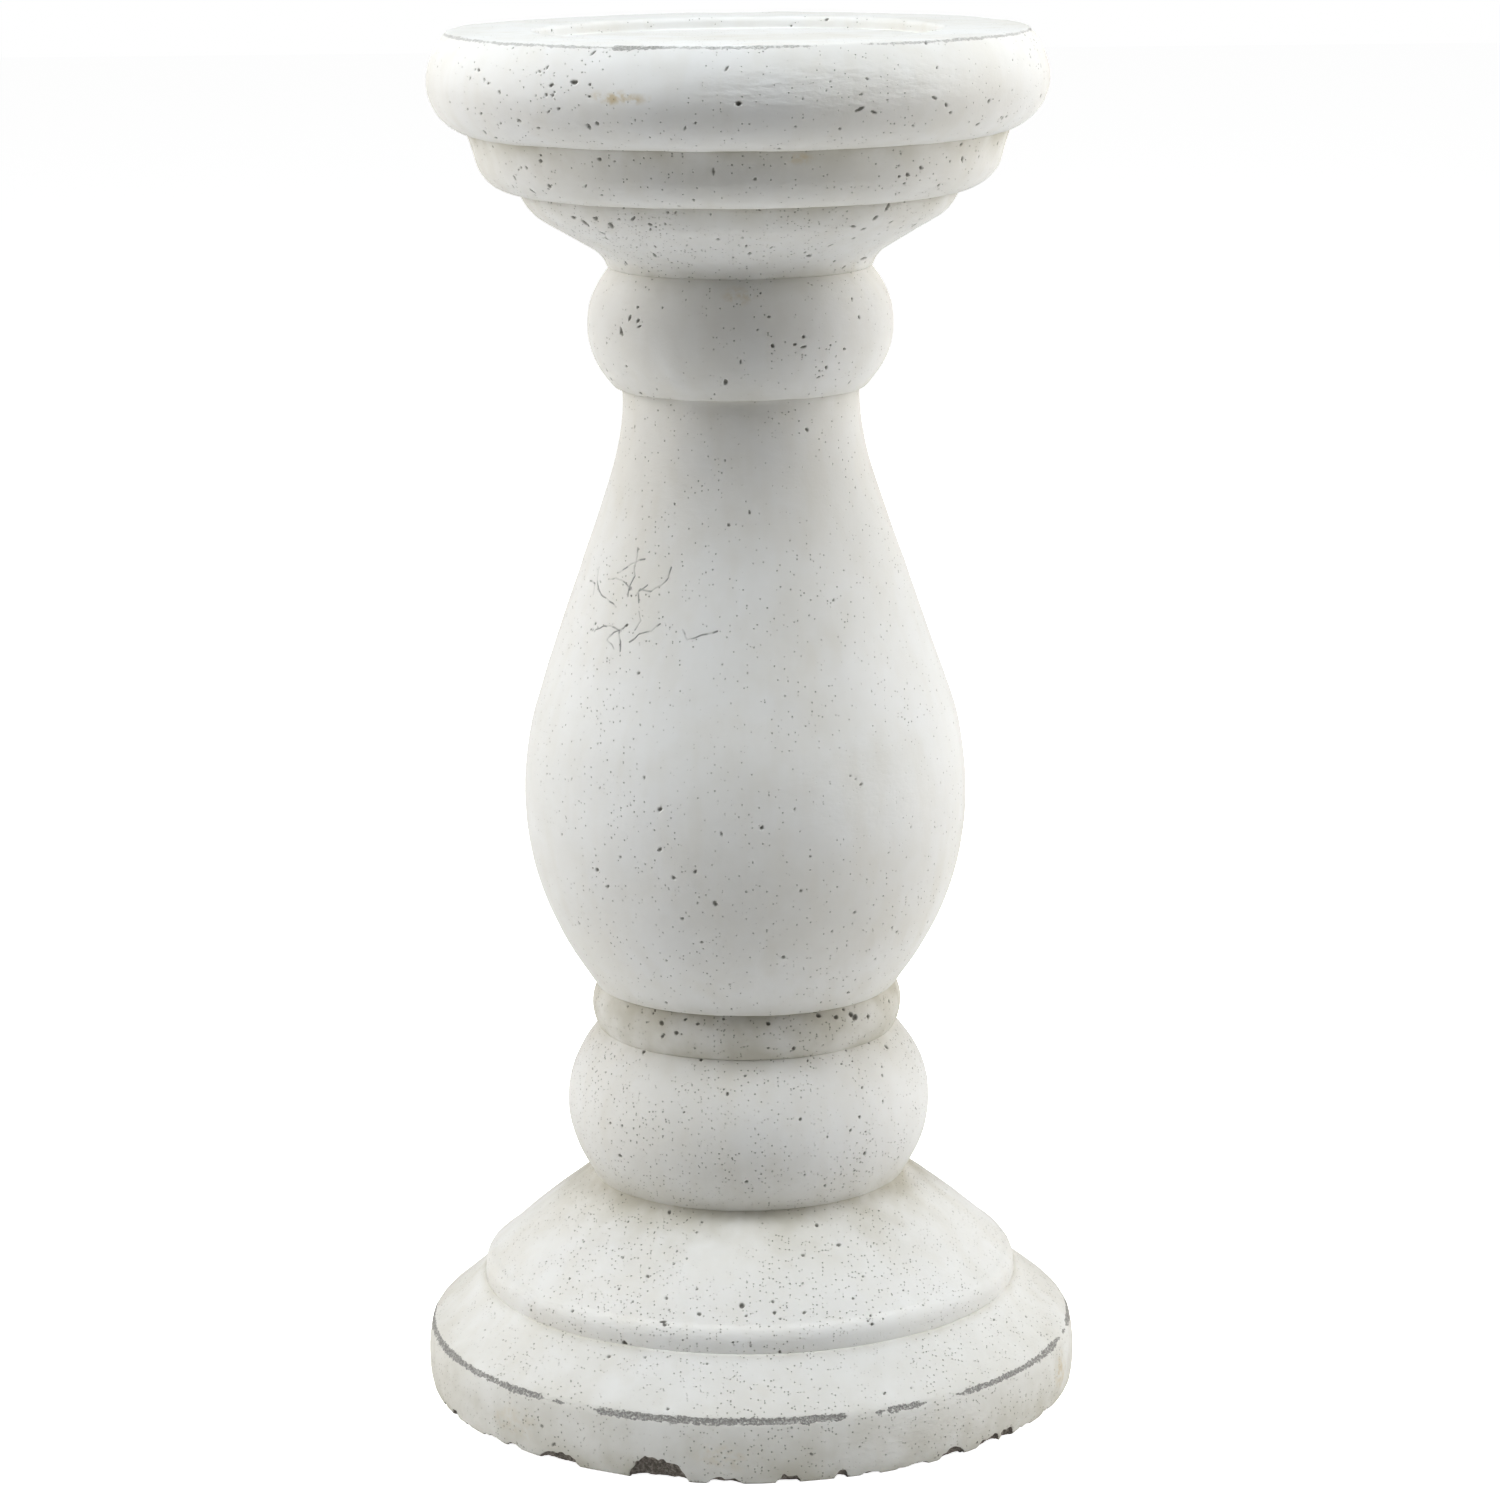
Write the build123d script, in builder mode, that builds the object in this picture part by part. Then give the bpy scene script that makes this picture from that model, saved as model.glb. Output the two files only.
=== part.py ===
"""Pillar-candle holder of cast cement: nine turned-profile members stacked on one steel tie rod.

Millimetres, +Z up. The origin is on the stem's axis, in the plane that the base stands on.
Each cast member above the plinth has a spigot underneath that stands in the socket of the one below.
"""

import os
from math import asin, cos, degrees, radians, sin

from build123d import *

os.makedirs("parts", exist_ok=True)

# Heights of the faces where one member sits on the next.
FOOT_Z = 30.4
BULB_Z = 60.5
COLLAR_Z = 103.5
BALUSTER_Z = 116.3
BALL_Z = 283.8
CUP_Z = 317.0
DISC_Z = 337.6
DISH_Z = 353.2
TOP_Z = 380.0

# Greatest radii of the members.
PLINTH_R = 91.9
FOOT_R = 74.9
BULB_R = 50.9
COLLAR_R = 43.3
BELLY_R = 61.7
NECK_R = 32.3
BALL_R = 41.9
CUP_R = 59.3
DISC_R = 73.2
DISH_R = 84.1

# Candle recess in the dish.
RECESS_R = 55.0
RECESS_DEPTH = 3.25
RECESS_EDGE_RADIUS = 1.5

# Spigot and socket joints between members, on the rod's axis.
SPIGOT_R = 16.0
SPIGOT_LENGTH = 5.0
SOCKET_R = SPIGOT_R + 0.3
SOCKET_DEPTH = SPIGOT_LENGTH + 1.0
ROD_HOLE_R = 6.0

# M10 rod, nut, washer and cast-in anchor.
ROD_R = 5.0
THREAD_BORE_R = ROD_R + 0.05
ROD_BOTTOM_Z = 3.6
ROD_TOP_Z = 362.0
ROD_CHAMFER = 1.0
NUT_ACROSS_FLATS = 17.0
NUT_HEIGHT = 8.0
WASHER_R = 15.0
WASHER_BORE_R = 5.25
WASHER_THICKNESS = 2.5
ANCHOR_R = 8.0
ANCHOR_LENGTH = 16.0
ANCHOR_GROOVE_DEPTH = 0.8
ANCHOR_GROOVE_WIDTH = 2.0
ANCHOR_HOLE_SLACK = 0.05

# Felt pad, and the nut's pocket above it, under the plinth.
PAD_R = 78.0
PAD_THICKNESS = 2.5
PAD_RECESS_R = PAD_R + 1.0
NUT_POCKET_R = 17.0
NUT_POCKET_TOP_Z = 15.0


def socket_side(top):
    """Inner side of a member's half section at its top face: socket wall, floor, rod hole."""
    return [(SOCKET_R, top), (SOCKET_R, top - SOCKET_DEPTH), (ROD_HOLE_R, top - SOCKET_DEPTH)]


def spigot_side(bottom):
    """Inner side of a member's half section at its bottom face: rod hole, spigot end, spigot wall."""
    end = bottom - SPIGOT_LENGTH
    return [(ROD_HOLE_R, end), (SPIGOT_R, end), (SPIGOT_R, bottom)]


# Plinth: low drum with a slightly bowed side, a rounded arris and a sloping shoulder.
ARRIS_Z = 16.0
SIDE_BOW = 0.7
SHOULDER_START = (89.2, 19.1)
SHOULDER_TOP_R = FOOT_R + 0.6
PLINTH_FOOT_CHAMFER = 0.8
with BuildPart() as plinth:
    with BuildSketch(Plane.XZ):
        with BuildLine():
            edge_r = PLINTH_R - SIDE_BOW
            side = ThreePointArc((edge_r, PLINTH_FOOT_CHAMFER), (PLINTH_R, ARRIS_Z / 2), (edge_r, ARRIS_Z))
            TangentArc(side @ 1, SHOULDER_START, tangent=side % 1)
            Polyline(
                SHOULDER_START,
                (SHOULDER_TOP_R, FOOT_Z),
                *socket_side(FOOT_Z),
                (ROD_HOLE_R, NUT_POCKET_TOP_Z),
                (NUT_POCKET_R, NUT_POCKET_TOP_Z),
                (NUT_POCKET_R, PAD_THICKNESS),
                (PAD_RECESS_R, PAD_THICKNESS),
                (PAD_RECESS_R, 0),
                (edge_r - PLINTH_FOOT_CHAMFER, 0),
                side @ 0,
            )
        make_face()
    revolve(axis=Axis.Z)
plinth.part.label = "plinth"
export_step(plinth.part, "parts/plinth.step")

# Foot: short upright edge, rounded over into a dome that rises to the bulb.
FOOT_EDGE_TOP_Z = FOOT_Z + 3.4
DOME_START = (72.0, 37.8)
DOME_MIDDLE = (58.2, 49.8)
DOME_END = (43.6, BULB_Z)
with BuildPart() as foot:
    with BuildSketch(Plane.XZ):
        with BuildLine():
            edge = Line((FOOT_R, FOOT_Z), (FOOT_R, FOOT_EDGE_TOP_Z))
            TangentArc(edge @ 1, DOME_START, tangent=edge % 1)
            dome = ThreePointArc(DOME_START, DOME_MIDDLE, DOME_END)
            Polyline(dome @ 1, *socket_side(BULB_Z), *spigot_side(FOOT_Z), edge @ 0)
        make_face()
    revolve(axis=Axis.Z)
foot.part.label = "foot"
export_step(foot.part, "parts/foot.step")

# Lower bulb: one round belly between two narrower ends.
BULB_BOTTOM = (42.4, BULB_Z)
BULB_MIDDLE = (BULB_R, 81.0)
BULB_TOP = (40.8, COLLAR_Z)
with BuildPart() as lower_bulb:
    with BuildSketch(Plane.XZ):
        with BuildLine():
            belly = ThreePointArc(BULB_BOTTOM, BULB_MIDDLE, BULB_TOP)
            Polyline(belly @ 1, *socket_side(COLLAR_Z), *spigot_side(BULB_Z), belly @ 0)
        make_face()
    revolve(axis=Axis.Z)
lower_bulb.part.label = "lower_bulb"
export_step(lower_bulb.part, "parts/lower_bulb.step")

# Collar: low bead, fullest just below its middle.
BEAD_BOTTOM = (41.3, COLLAR_Z)
BEAD_MIDDLE = (COLLAR_R, 108.9)
BEAD_TOP = (40.9, BALUSTER_Z)
with BuildPart() as collar:
    with BuildSketch(Plane.XZ):
        with BuildLine():
            bead = ThreePointArc(BEAD_BOTTOM, BEAD_MIDDLE, BEAD_TOP)
            Polyline(bead @ 1, *socket_side(BALUSTER_Z), *spigot_side(COLLAR_Z), bead @ 0)
        make_face()
    revolve(axis=Axis.Z)
collar.part.label = "collar"
export_step(collar.part, "parts/collar.step")

# Baluster: round belly low down, a straight taper, and a hollowed neck.
BELLY_Z = 170.5
BELLY_CURVE_R = 84.0
TAPER_ANGLE = 19.0
TAPER_TOP_Z = 258.0
with BuildPart() as baluster:
    with BuildSketch(Plane.XZ):
        with BuildLine():
            start_angle = degrees(asin((BALUSTER_Z - BELLY_Z) / BELLY_CURVE_R))
            belly = CenterArc(
                (BELLY_R - BELLY_CURVE_R, BELLY_Z),
                BELLY_CURVE_R,
                start_angle,
                TAPER_ANGLE - start_angle,
            )
            taper_height = TAPER_TOP_Z - (belly @ 1).Y
            taper_run = taper_height * sin(radians(TAPER_ANGLE)) / cos(radians(TAPER_ANGLE))
            taper = Line(belly @ 1, ((belly @ 1).X - taper_run, TAPER_TOP_Z))
            TangentArc(taper @ 1, (NECK_R, BALL_Z), tangent=taper % 1)
            Polyline((NECK_R, BALL_Z), *socket_side(BALL_Z), *spigot_side(BALUSTER_Z), belly @ 0)
        make_face()
    revolve(axis=Axis.Z)
baluster.part.label = "baluster"
export_step(baluster.part, "parts/baluster.step")

# Neck ball: flattened ball that overhangs the neck a little.
BALL_END_R = 34.4
with BuildPart() as neck_ball:
    with BuildSketch(Plane.XZ):
        with BuildLine():
            ball = ThreePointArc((BALL_END_R, BALL_Z), (BALL_R, (BALL_Z + CUP_Z) / 2), (BALL_END_R, CUP_Z))
            Polyline(ball @ 1, *socket_side(CUP_Z), *spigot_side(BALL_Z), ball @ 0)
        make_face()
    revolve(axis=Axis.Z)
neck_ball.part.label = "neck_ball"
export_step(neck_ball.part, "parts/neck_ball.step")

# Cup: hollowed start, straight flare, then a rounded lip under the step disc.
CUP_FLARE_START = (40.2, 321.5)
CUP_FLARE_END = (53.8, 329.6)
CUP_BOTTOM = (35.7, CUP_Z)
CUP_LIP_Z = DISC_Z - 1.4
with BuildPart() as cup:
    with BuildSketch(Plane.XZ):
        with BuildLine():
            flare = Line(CUP_FLARE_START, CUP_FLARE_END)
            hollow = TangentArc(CUP_FLARE_START, CUP_BOTTOM, tangent=-(flare % 0))
            TangentArc(CUP_FLARE_END, (CUP_R, CUP_LIP_Z), tangent=flare % 1)
            Polyline(
                (CUP_R, CUP_LIP_Z),
                (CUP_R, DISC_Z),
                *socket_side(DISC_Z),
                *spigot_side(CUP_Z),
                hollow @ 1,
            )
        make_face()
    revolve(axis=Axis.Z)
cup.part.label = "cup"
export_step(cup.part, "parts/cup.step")

# Step disc: rounded lower corner and a side that opens slightly upwards.
CORNER_BOTTOM = (62.5, DISC_Z)
CORNER_MIDDLE = (67.6, 339.9)
CORNER_TOP = (70.9, 344.5)
with BuildPart() as step_disc:
    with BuildSketch(Plane.XZ):
        with BuildLine():
            corner = ThreePointArc(CORNER_BOTTOM, CORNER_MIDDLE, CORNER_TOP)
            Polyline(
                corner @ 1,
                (DISC_R, DISH_Z),
                *socket_side(DISH_Z),
                *spigot_side(DISC_Z),
                corner @ 0,
            )
        make_face()
    revolve(axis=Axis.Z)
step_disc.part.label = "step_disc"
export_step(step_disc.part, "parts/step_disc.step")

# Dish: rolled rim, flat top with a shallow candle recess, and the rod anchor's blind hole below.
RIM_Z = 366.6
RIM_ARRIS_R = 78.4
UNDERSIDE_R = DISC_R + 0.2
UNDERSIDE_MIDDLE = (80.9, 357.9)
ANCHOR_BOTTOM_Z = DISH_Z - SPIGOT_LENGTH + 1.0
ANCHOR_TOP_Z = ANCHOR_BOTTOM_Z + ANCHOR_LENGTH
with BuildPart() as dish:
    with BuildSketch(Plane.XZ):
        with BuildLine():
            under = ThreePointArc((UNDERSIDE_R, DISH_Z), UNDERSIDE_MIDDLE, (DISH_R, RIM_Z))
            over = TangentArc(under @ 1, (RIM_ARRIS_R, TOP_Z), tangent=(0, 1))
            spigot_end = DISH_Z - SPIGOT_LENGTH
            hole_r = ANCHOR_R + ANCHOR_HOLE_SLACK
            Polyline(
                over @ 1,
                (RECESS_R, TOP_Z),
                (RECESS_R, TOP_Z - RECESS_DEPTH),
                (0, TOP_Z - RECESS_DEPTH),
                (0, ANCHOR_TOP_Z),
                (hole_r, ANCHOR_TOP_Z),
                (hole_r, spigot_end),
                (SPIGOT_R, spigot_end),
                (SPIGOT_R, DISH_Z),
                under @ 0,
            )
        make_face()
    revolve(axis=Axis.Z)
    recess_edge = (
        dish.edges()
        .filter_by(GeomType.CIRCLE)
        .filter_by(lambda edge: abs(edge.radius - RECESS_R) < 0.01)
        .sort_by(Axis.Z)[-1]
    )
    fillet(recess_edge, radius=RECESS_EDGE_RADIUS)
dish.part.label = "dish"
export_step(dish.part, "parts/dish.step")

# Tie rod: from the nut's pocket under the plinth up into the anchor in the dish.
with BuildPart() as tie_rod:
    with BuildSketch(Plane.XY.offset(ROD_BOTTOM_Z)):
        Circle(ROD_R)
    extrude(amount=ROD_TOP_Z - ROD_BOTTOM_Z)
    rod_ends = tie_rod.edges().filter_by(GeomType.CIRCLE)
    chamfer(rod_ends, length=ROD_CHAMFER)
tie_rod.part.label = "tie_rod"
export_step(tie_rod.part, "parts/tie_rod.step")

# Rod anchor: sleeve with two outside grooves, in a plain blind hole of the dish.
GROOVE_HEIGHTS = (ANCHOR_BOTTOM_Z + 4.0, ANCHOR_BOTTOM_Z + 10.0)
with BuildPart() as rod_anchor:
    with BuildSketch(Plane.XY.offset(ANCHOR_BOTTOM_Z)):
        Circle(ANCHOR_R)
        Circle(THREAD_BORE_R, mode=Mode.SUBTRACT)
    extrude(amount=ANCHOR_LENGTH)
    for groove_z in GROOVE_HEIGHTS:
        with BuildSketch(Plane.XY.offset(groove_z)):
            Circle(ANCHOR_R)
            Circle(ANCHOR_R - ANCHOR_GROOVE_DEPTH, mode=Mode.SUBTRACT)
        extrude(amount=ANCHOR_GROOVE_WIDTH, mode=Mode.SUBTRACT)
rod_anchor.part.label = "rod_anchor"
export_step(rod_anchor.part, "parts/rod_anchor.step")

# Rod washer: bears on the plinth's web at the top of the nut pocket.
WASHER_BOTTOM_Z = NUT_POCKET_TOP_Z - WASHER_THICKNESS
with BuildPart() as rod_washer:
    with BuildSketch(Plane.XY.offset(WASHER_BOTTOM_Z)):
        Circle(WASHER_R)
        Circle(WASHER_BORE_R, mode=Mode.SUBTRACT)
    extrude(amount=WASHER_THICKNESS)
rod_washer.part.label = "rod_washer"
export_step(rod_washer.part, "parts/rod_washer.step")

# Rod nut: hexagon under the washer.
with BuildPart() as rod_nut:
    with BuildSketch(Plane.XY.offset(WASHER_BOTTOM_Z - NUT_HEIGHT)):
        RegularPolygon(NUT_ACROSS_FLATS / 2, 6, major_radius=False)
        Circle(THREAD_BORE_R, mode=Mode.SUBTRACT)
    extrude(amount=NUT_HEIGHT)
rod_nut.part.label = "rod_nut"
export_step(rod_nut.part, "parts/rod_nut.step")

# Base pad: felt disc, flush with the plinth's rim.
with BuildPart() as base_pad:
    with BuildSketch(Plane.XY):
        Circle(PAD_R)
    extrude(amount=PAD_THICKNESS)
base_pad.part.label = "base_pad"
export_step(base_pad.part, "parts/base_pad.step")
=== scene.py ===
"""Looks for the cast-cement pillar-candle holder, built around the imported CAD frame.

Each cast member's CAD node is measured for its half section, and a finer mesh is turned from that
section about the same axis. Soft arrises, hand-finished unevenness, air-bubble pits, chips, a worn
edge and a few scratches are cut into that mesh. Blender units are metres; a name that ends in _MM,
and every outline, feature and depth below, is in millimetres until the mesh is made.
The angle phi is 0 at the front (-Y) and grows towards +X.
"""

import math

import bmesh
import bpy
import numpy as np
from mathutils import Matrix, Vector, kdtree


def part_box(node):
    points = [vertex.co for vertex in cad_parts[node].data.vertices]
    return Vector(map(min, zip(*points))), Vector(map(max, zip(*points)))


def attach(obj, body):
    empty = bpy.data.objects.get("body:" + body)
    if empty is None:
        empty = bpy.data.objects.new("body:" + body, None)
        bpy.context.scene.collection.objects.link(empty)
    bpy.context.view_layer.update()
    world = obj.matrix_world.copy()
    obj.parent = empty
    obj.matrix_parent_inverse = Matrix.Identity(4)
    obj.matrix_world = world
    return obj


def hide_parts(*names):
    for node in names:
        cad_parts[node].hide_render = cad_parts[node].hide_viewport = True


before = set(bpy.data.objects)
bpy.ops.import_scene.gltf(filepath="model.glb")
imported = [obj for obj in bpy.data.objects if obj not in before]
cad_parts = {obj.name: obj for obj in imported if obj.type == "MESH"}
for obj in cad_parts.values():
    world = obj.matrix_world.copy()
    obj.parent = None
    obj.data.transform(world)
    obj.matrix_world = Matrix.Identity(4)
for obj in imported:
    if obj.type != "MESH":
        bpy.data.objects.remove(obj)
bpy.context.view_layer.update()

MM = 0.001
BODY = "root"
CAST_MEMBERS = [
    "plinth",
    "foot",
    "lower_bulb",
    "collar",
    "baluster",
    "neck_ball",
    "cup",
    "step_disc",
    "dish",
]


# ---------------------------------------------------------------- noise


def lattice_value(ix, iy, iz, seed):
    """A repeatable value from -1 to 1 for each whole-number lattice point."""
    n = (ix * 374761393 + iy * 668265263 + iz * 1440662683 + seed * 1013904223) & 0xFFFFFFFF
    n = ((n ^ (n >> 13)) * 1274126177) & 0xFFFFFFFF
    n = ((n ^ (n >> 15)) * 668265263) & 0xFFFFFFFF
    return (n ^ (n >> 16)) / 0x7FFFFFFF - 1.0


def noise(points, size, seed):
    """Smooth noise, about -1 to 1, whose bumps are about size across."""
    cell = points / size
    low = np.floor(cell)
    t = cell - low
    t = t * t * (3 - 2 * t)
    low = low.astype(np.int64)
    total = np.zeros(len(points))
    for dx in (0, 1):
        for dy in (0, 1):
            for dz in (0, 1):
                weight = (
                    (t[:, 0] if dx else 1 - t[:, 0])
                    * (t[:, 1] if dy else 1 - t[:, 1])
                    * (t[:, 2] if dz else 1 - t[:, 2])
                )
                total += weight * lattice_value(low[:, 0] + dx, low[:, 1] + dy, low[:, 2] + dz, seed)
    return total


def smoothstep(low, high, value):
    t = np.clip((value - low) / (high - low), 0, 1)
    return t * t * (3 - 2 * t)


# ---------------------------------------------------------------- half section of a CAD node

CUT_ANGLE = math.radians(0.3)
MERGE_MM = 1e-4
SECTION_STEP_MM = 0.1
SOFT_EDGE_MM = 0.35
SOFT_REACH_FACTOR = 4


def cut_segments(node):
    """Segments ((key, radius, height), (key, radius, height)) where a half-plane cuts a CAD node."""
    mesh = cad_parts[node].data
    mesh.calc_loop_triangles()
    corners = np.array([t.vertices[:] for t in mesh.loop_triangles])
    points = np.array([v.co[:] for v in mesh.vertices]) / MM
    _, merged = np.unique(np.round(points / MERGE_MM), axis=0, return_inverse=True)
    merged = merged.ravel()
    along = np.array([math.cos(CUT_ANGLE), math.sin(CUT_ANGLE), 0])
    across = np.array([-math.sin(CUT_ANGLE), math.cos(CUT_ANGLE), 0])
    side = points @ across
    segments = []
    above = side > 0
    crossed = above[corners].any(axis=1) & ~above[corners].all(axis=1)
    for triangle in corners[crossed]:
        ends = []
        for a, b in ((0, 1), (1, 2), (2, 0)):
            i, j = triangle[a], triangle[b]
            if above[i] != above[j]:
                t = side[i] / (side[i] - side[j])
                point = points[i] + t * (points[j] - points[i])
                key = tuple(sorted((int(merged[i]), int(merged[j]))))
                ends.append((key, float(point @ along), float(point[2])))
        segments.append(ends)
    return segments


def clipped_to_axis(segments):
    """The segments on the positive side of the axis, with one that crosses it ended there."""
    kept = []
    for a, b in segments:
        if a[1] <= 0 and b[1] <= 0:
            continue
        if a[1] < 0 or b[1] < 0:
            inside, outside = (a, b) if a[1] > 0 else (b, a)
            t = inside[1] / (inside[1] - outside[1])
            height = inside[2] + t * (outside[2] - inside[2])
            a, b = inside, (("axis", round(height, 2)), 0.0, height)
        kept.append((a, b))
    return kept


def half_section(node):
    """The node's outline as ordered (radius, height) rows, rising along its outer side."""
    neighbours, place = {}, {}
    for a, b in clipped_to_axis(cut_segments(node)):
        for end, other in ((a, b), (b, a)):
            neighbours.setdefault(end[0], []).append(other[0])
            place[end[0]] = end[1:]
    ends = sorted((k for k in neighbours if k[0] == "axis"), key=lambda k: place[k][1])
    start = ends[0] if ends else min(neighbours)
    path, seen = [start], {start}
    while True:
        onward = [k for k in neighbours[path[-1]] if k not in seen]
        if not onward:
            break
        path.append(onward[0])
        seen.add(onward[0])
    outline = np.array([place[k] for k in path])
    r, z = outline[:, 0], outline[:, 1]
    area = np.sum(r * np.roll(z, -1) - np.roll(r, -1) * z)
    return (outline if area > 0 else outline[::-1]), bool(ends)


def arc_lengths(outline):
    steps = np.hypot(*np.diff(outline, axis=0).T)
    return np.concatenate([[0], np.cumsum(steps)])


def resampled(outline, step):
    length = arc_lengths(outline)
    at = np.linspace(0, length[-1], max(2, int(round(length[-1] / step)) + 1))
    return np.c_[np.interp(at, length, outline[:, 0]), np.interp(at, length, outline[:, 1])]


def softened(outline, closed):
    """The outline resampled finely, with its corners rounded as a thick wash rounds them."""
    if closed:
        outline = np.r_[outline, outline[:1]]
    fine = resampled(outline, SECTION_STEP_MM)
    reach = int(SOFT_REACH_FACTOR * SOFT_EDGE_MM / SECTION_STEP_MM)
    kernel = np.exp(-0.5 * (np.arange(-reach, reach + 1) * SECTION_STEP_MM / SOFT_EDGE_MM) ** 2)
    kernel /= kernel.sum()
    if closed:
        fine = fine[:-1]
        padded = np.r_[fine[-reach:], fine, fine[:reach]]
    else:
        mirror = np.array([-1, 1])
        padded = np.r_[fine[reach:0:-1] * mirror, fine, fine[-2 : -reach - 2 : -1] * mirror]
    return np.c_[
        np.convolve(padded[:, 0], kernel, "valid"),
        np.convolve(padded[:, 1], kernel, "valid"),
    ]


def without_straight_points(outline, slack=0.02):
    """The outline with only the points that its shape needs, to within slack."""
    if len(outline) < 3:
        return outline
    line = outline[-1] - outline[0]
    size = np.hypot(*line)
    offset = outline - outline[0]
    gap = np.abs(line[0] * offset[:, 1] - line[1] * offset[:, 0]) / max(size, 1e-9)
    if size < 1e-6:
        gap = np.hypot(*offset.T)
    worst = int(gap.argmax())
    if gap[worst] <= slack:
        return outline[[0, -1]]
    first = without_straight_points(outline[: worst + 1], slack)
    return np.r_[first[:-1], without_straight_points(outline[worst:], slack)]


# ---------------------------------------------------------------- member: its skin and its core

SEAT_MARGIN_MM = 4.0
SEAT_SLACK_MM = 0.08
CORNER_TURN = math.radians(11)


class Member:
    """One cast member: the skin is the part of its outline that can be seen, the core the rest."""

    def __init__(self, node, seat_below_mm, ring_step_mm, segments):
        self.node = node
        self.segments = segments
        section, on_axis = half_section(node)
        outline = softened(section, closed=not on_axis)
        top = outline[:, 1].max() if not on_axis else None
        start = self.on_seat(outline, seat_below_mm)
        outline = np.roll(outline, -start, axis=0) if not on_axis else outline
        if on_axis:
            core, skin = outline[: start + 1], outline[start:]
        else:
            end = self.on_seat(outline, top)
            skin = outline[: end + 1]
            core = np.r_[outline[end:], outline[:1]]
        self.ends_at_axis = on_axis
        self.core = without_straight_points(core)
        self.skin = skin
        self.length = arc_lengths(skin)
        self.turn_normals()
        self.rings = self.ring_places(ring_step_mm)

    @staticmethod
    def on_seat(outline, height):
        """Index of the outline point a little inside the outer edge of the seat at this height."""
        on = np.where(np.abs(outline[:, 1] - height) < SEAT_SLACK_MM)[0]
        edge = outline[on, 0].max()
        return int(on[np.argmin(np.abs(outline[on, 0] - (edge - SEAT_MARGIN_MM)))])

    def turn_normals(self):
        """Outward (radial, vertical) normals and the turning along the skin."""
        tangent = np.gradient(self.skin, axis=0)
        tangent /= np.hypot(*tangent.T)[:, None]
        self.normals = np.c_[tangent[:, 1], -tangent[:, 0]]
        angle = np.unwrap(np.arctan2(tangent[:, 1], tangent[:, 0]))
        self.turning = np.abs(np.gradient(angle, self.length))

    def ring_places(self, step):
        """Arc lengths of the mesh's rings: evenly spaced on gentle stretches, closer round corners."""
        cost = 1 / step + self.turning / CORNER_TURN
        total = np.concatenate([[0], np.cumsum((cost[1:] + cost[:-1]) / 2 * np.diff(self.length))])
        count = int(math.ceil(total[-1]))
        return np.interp(np.linspace(0, total[-1], count + 1), total, self.length)

    def radius(self, s):
        return np.interp(s, self.length, self.skin[:, 0])

    def height(self, s):
        return np.interp(s, self.length, self.skin[:, 1])

    def points(self, phi, s):
        """Skin points, in mm, at angles phi (radians, 0 at the front) and arc lengths s."""
        r = self.radius(s)
        return np.c_[r * np.sin(phi), -r * np.cos(phi), self.height(s)]

    def outward(self, phi, s):
        radial = np.interp(s, self.length, self.normals[:, 0])
        vertical = np.interp(s, self.length, self.normals[:, 1])
        size = np.hypot(radial, vertical)
        return np.c_[radial * np.sin(phi), -radial * np.cos(phi), vertical] / size[:, None]

    def at_height(self, height):
        """Arc length of the first skin point past the lower seat that reaches this height."""
        z = self.skin[:, 1]
        hits = np.where((z[:-1] - height) * (z[1:] - height) <= 0)[0]
        past_seat = [i for i in hits if self.length[i] > SEAT_MARGIN_MM * 1.2]
        return float(self.length[(past_seat or list(hits))[0]])


CORE_SEGMENTS = 64


def turned_bmesh(member):
    """The member's closed mesh, with each skin vertex's arc length in the float layer s (-1 on the core)."""
    bm = bmesh.new()
    layer = bm.verts.layers.float.new("s")

    def ring(radius, height, count, s):
        made = []
        for k in range(count):
            phi = 2 * math.pi * k / count
            v = bm.verts.new((radius * math.sin(phi), -radius * math.cos(phi), height))
            v[layer] = s
            made.append(v)
        return made

    def bridge(lower, upper):
        fine, coarse = (lower, upper) if len(lower) >= len(upper) else (upper, lower)
        ratio = len(fine) // len(coarse)
        flip = fine is upper
        for k in range(len(coarse)):
            a, b = coarse[k], coarse[(k + 1) % len(coarse)]
            run = [fine[(k * ratio + i) % len(fine)] for i in range(ratio + 1)]
            if ratio == 1:
                faces = [(run[0], run[1], b, a)]
            else:
                half = ratio // 2
                faces = [(run[i], run[i + 1], a) for i in range(half)]
                faces.append((run[half], b, a))
                faces += [(run[i], run[i + 1], b) for i in range(half, ratio)]
            for face in faces:
                bm.faces.new(face[::-1] if flip else face)

    skin = [ring(member.radius(s), member.height(s), member.segments, s) for s in member.rings[:-1]]
    last = member.rings[-1]
    if member.ends_at_axis:
        pole = bm.verts.new((0, 0, float(member.height(last))))
        pole[layer] = last
        for k in range(member.segments):
            bm.faces.new((skin[-1][k], skin[-1][(k + 1) % member.segments], pole))
        pole_below = bm.verts.new((0, 0, float(member.core[0][1])))
        pole_below[layer] = -1
        core = [ring(r, z, CORE_SEGMENTS, -1) for r, z in member.core[1:-1]]
        for k in range(CORE_SEGMENTS):
            bm.faces.new((core[0][(k + 1) % CORE_SEGMENTS], core[0][k], pole_below))
        rings = core + skin
    else:
        skin.append(ring(member.radius(last), member.height(last), member.segments, last))
        core = [ring(r, z, CORE_SEGMENTS, -1) for r, z in member.core[1:-1]]
        rings = skin + core + [skin[0]]
    for lower, upper in zip(rings, rings[1:]):
        bridge(lower, upper)
    bmesh.ops.recalc_face_normals(bm, faces=bm.faces)
    return bm


# ---------------------------------------------------------------- features cut into the skin


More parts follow.
